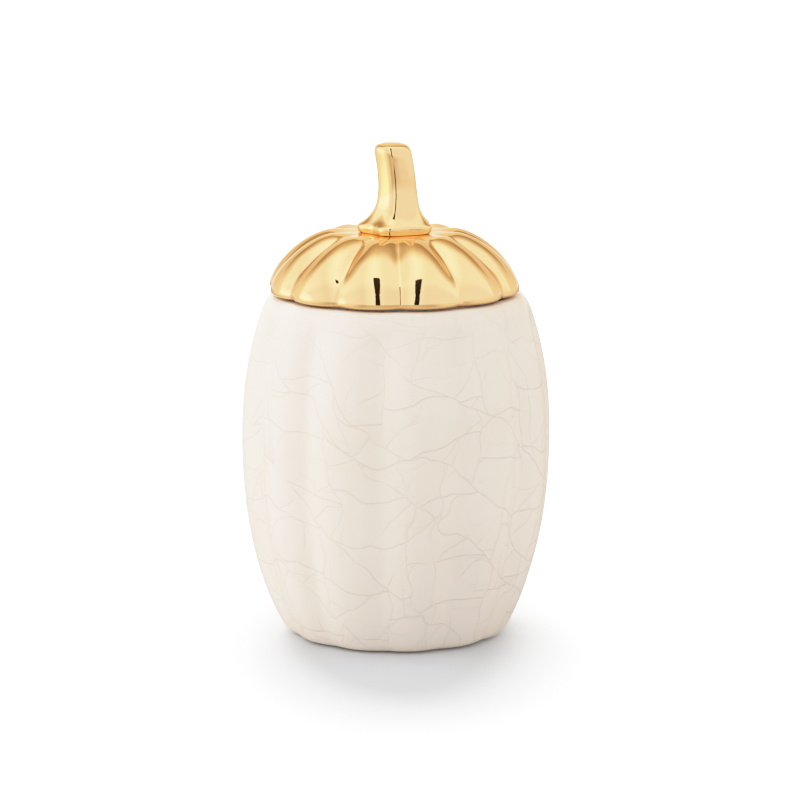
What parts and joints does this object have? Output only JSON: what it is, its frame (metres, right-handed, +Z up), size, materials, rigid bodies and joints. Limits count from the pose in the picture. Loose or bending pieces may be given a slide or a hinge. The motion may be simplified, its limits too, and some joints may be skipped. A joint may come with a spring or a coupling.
{
  "type": "lidded candle jar",
  "caption": "Tall fluted pumpkin-shaped ceramic candle jar with a domed, lobed lift-off lid and a curved stem as its knob.",
  "frame": {"origin": "centre of the foot ring, on the surface that the jar stands on", "axes": "+Z up along the jar's axis, -Y towards the front, +X to the right seen from the front"},
  "size_m": [0.0948, 0.0948, 0.152],
  "materials": {
    "crackle_glaze": "glossy ivory crackle glaze",
    "label_paper": "blank matt label",
    "candle_wax": "poured soy wax blend",
    "wick_cotton": "waxed cotton braid",
    "tinned_steel": "tinned sheet",
    "sticker_foam": "adhesive foam",
    "seal_silicone": "clear silicone",
    "gold_plating": "mirror gold plating over glaze"
  },
  "bodies": {
    "jar": {"jar": "crackle_glaze", "base_label": "label_paper", "wax_fill": "candle_wax", "wick": "wick_cotton", "wick_tab": "tinned_steel", "wick_sticker": "sticker_foam"},
    "seal": {"seal_ring": "seal_silicone"},
    "lid": {"lid_shell": "gold_plating", "stem": "gold_plating"}
  },
  "joints": [
    {"name": "lid_lift", "type": "slide", "parent": "jar", "child": "seal", "axis": [0, 0, 1], "range_m": [0, 0.06]},
    {"name": "lid_turn", "type": "hinge", "parent": "seal", "child": "lid", "pos_m": [0, 0, 0.1029], "axis": [0, 0, 1], "continuous": true}
  ]
}
